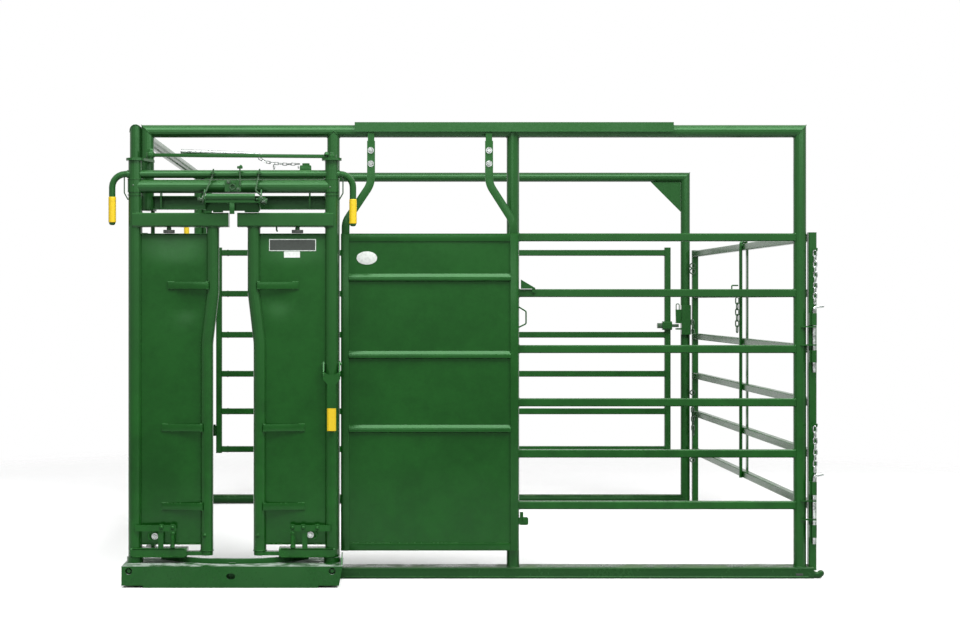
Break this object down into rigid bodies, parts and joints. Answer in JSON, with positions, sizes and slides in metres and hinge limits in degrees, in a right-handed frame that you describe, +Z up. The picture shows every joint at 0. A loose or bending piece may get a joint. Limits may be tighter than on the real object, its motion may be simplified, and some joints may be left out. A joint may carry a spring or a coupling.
{
  "type": "calving pen",
  "caption": "Pipe-framed calving pen with a two-door head gate, sliding sheeted side door, railed front, swinging rear and side gates and an inner squeeze gate.",
  "frame": {"origin": "on the floor under the front sill, halfway along the front frame, in the plane of its posts", "axes": "+X to the right along the front, +Y into the pen away from the operator, +Z up"},
  "size_m": [3.4164, 3.4045, 2.1781],
  "materials": {
    "green_paint": "gloss",
    "zinc": "satin",
    "yellow_grip": "satin",
    "black_rubber": "matte"
  },
  "bodies": {
    "pen_frame": {"front_header": "green_paint", "front_right_post": "green_paint", "front_rail_panel": "green_paint", "headgate_side_post": "green_paint", "left_front_post": "green_paint", "left_rear_post": "green_paint", "left_top_tube": "green_paint", "left_side_rails": "green_paint", "header_corner_leg": "green_paint", "rear_beam": "green_paint", "front_sill": "green_paint", "rear_left_post": "green_paint", "rear_right_post": "green_paint", "rear_header": "green_paint", "rear_sill": "green_paint", "door_track": "green_paint", "door_side_guide": "green_paint", "headgate_pan": "green_paint", "threshold_arc": "green_paint", "headgate_top_frame": "green_paint", "rear_latch_keeper": "green_paint"},
    "release": {"release_shaft": "green_paint", "left_release_grip": "yellow_grip", "right_release_grip": "yellow_grip"},
    "latch": {"latch_box": "green_paint"},
    "lift_rods": {"left_lift_rod": "zinc", "right_lift_rod": "zinc"},
    "left_door": {"left_door_post": "green_paint", "left_door_arm": "green_paint", "left_door_sheet": "green_paint", "left_door_pipe": "green_paint", "left_door_foot": "green_paint", "left_door_bumper": "black_rubber"},
    "right_door": {"right_door_post": "green_paint", "right_door_arm": "green_paint", "right_door_sheet": "green_paint", "right_door_pipe": "green_paint", "right_door_foot": "green_paint", "right_door_bumper": "black_rubber"},
    "fork": {"fork_lever": "green_paint", "fork_grip": "yellow_grip"},
    "tie": {"tie_bar": "green_paint", "lock_pin": "zinc"},
    "sliding_door": {"sliding_door_panel": "green_paint", "left_door_hanger": "green_paint", "right_door_hanger": "green_paint"},
    "door_latch": {"door_gravity_latch": "green_paint"},
    "rear_swing_gate": {"rear_gate": "green_paint", "rear_gate_hinge_end": "green_paint", "rear_bolt_housing": "green_paint"},
    "rear_bolt": {"rear_slam_bolt": "zinc"},
    "side_swing_gate": {"side_gate": "green_paint", "side_gate_rails": "green_paint", "upper_pin_chain": "zinc", "lower_pin_chain": "zinc"},
    "upper_pin": {"upper_drop_pin": "zinc"},
    "lower_pin": {"lower_drop_pin": "zinc"},
    "squeeze_swing_gate": {"squeeze_gate": "green_paint"},
    "squeeze_handle": {"squeeze_lever": "green_paint", "squeeze_grip": "yellow_grip"}
  },
  "joints": [
    {"name": "release_turn", "type": "hinge", "parent": "pen_frame", "child": "release", "pos_m": [-1.1126, -0.17, 1.9211], "axis": [-1, 0, 0], "range_deg": [0, 25]},
    {"name": "latch_lift", "type": "hinge", "parent": "pen_frame", "child": "latch", "pos_m": [-1.1126, -0.2, 1.8], "axis": [-1, 0, 0], "range_deg": [0, 28]},
    {"name": "rods_rise", "type": "slide", "parent": "pen_frame", "child": "lift_rods", "axis": [0, 0, 1], "range_m": [0, 0.0245]},
    {"name": "left_door_swing", "type": "hinge", "parent": "pen_frame", "child": "left_door", "pos_m": [-1.574, -0.17, 0.126], "axis": [0, 0, -1], "range_deg": [0, 85]},
    {"name": "right_door_swing", "type": "hinge", "parent": "pen_frame", "child": "right_door", "pos_m": [-0.6512, -0.17, 0.126], "axis": [0, 0, 1], "range_deg": [0, 85]},
    {"name": "fork_swing", "type": "hinge", "parent": "right_door", "child": "fork", "pos_m": [-0.6512, -0.17, 1.03], "axis": [-1, 0, 0], "range_deg": [0, 90]},
    {"name": "tie_bar_swing", "type": "hinge", "parent": "pen_frame", "child": "tie", "pos_m": [-1.517, -0.054, 2.007], "axis": [0, 0, -1], "range_deg": [0, 70]},
    {"name": "door_slide", "type": "slide", "parent": "pen_frame", "child": "sliding_door", "axis": [1, 0, 0], "range_m": [0, 0.8]},
    {"name": "door_latch_swing", "type": "hinge", "parent": "pen_frame", "child": "door_latch", "pos_m": [0.31, -0.026, 1.372], "axis": [0, 1, 0], "range_deg": [0, 25]},
    {"name": "rear_gate_swing", "type": "hinge", "parent": "pen_frame", "child": "rear_swing_gate", "pos_m": [-1.4925, 3.085, 0.48], "axis": [0, 0, 1], "range_deg": [0, 100]},
    {"name": "rear_bolt_slide", "type": "slide", "parent": "rear_swing_gate", "child": "rear_bolt", "axis": [-1, 0, 0], "range_m": [0, 0.03]},
    {"name": "side_gate_swing", "type": "hinge", "parent": "pen_frame", "child": "side_swing_gate", "pos_m": [1.648, -0.0328, 0.2], "axis": [0, 0, -1], "range_deg": [0, 110]},
    {"name": "upper_pin_lift", "type": "slide", "parent": "side_swing_gate", "child": "upper_pin", "axis": [0, 0, 1], "range_m": [0, 0.09]},
    {"name": "lower_pin_lift", "type": "slide", "parent": "side_swing_gate", "child": "lower_pin", "axis": [0, 0, 1], "range_m": [0, 0.09]},
    {"name": "squeeze_gate_swing", "type": "hinge", "parent": "pen_frame", "child": "squeeze_swing_gate", "pos_m": [-1.517, 0.04, 0.45], "axis": [0, 0, -1], "range_deg": [0, 85]},
    {"name": "squeeze_handle_swing", "type": "hinge", "parent": "squeeze_swing_gate", "child": "squeeze_handle", "pos_m": [-1.565, 2.03, 1.56], "axis": [-1, 0, 0], "range_deg": [0, 35]}
  ],
  "couplings": [
    {"joint": "latch_lift", "follows": "release_turn", "ratio": 1.12},
    {"joint": "rods_rise", "follows": "release_turn", "m_per_rad": 0.056}
  ]
}
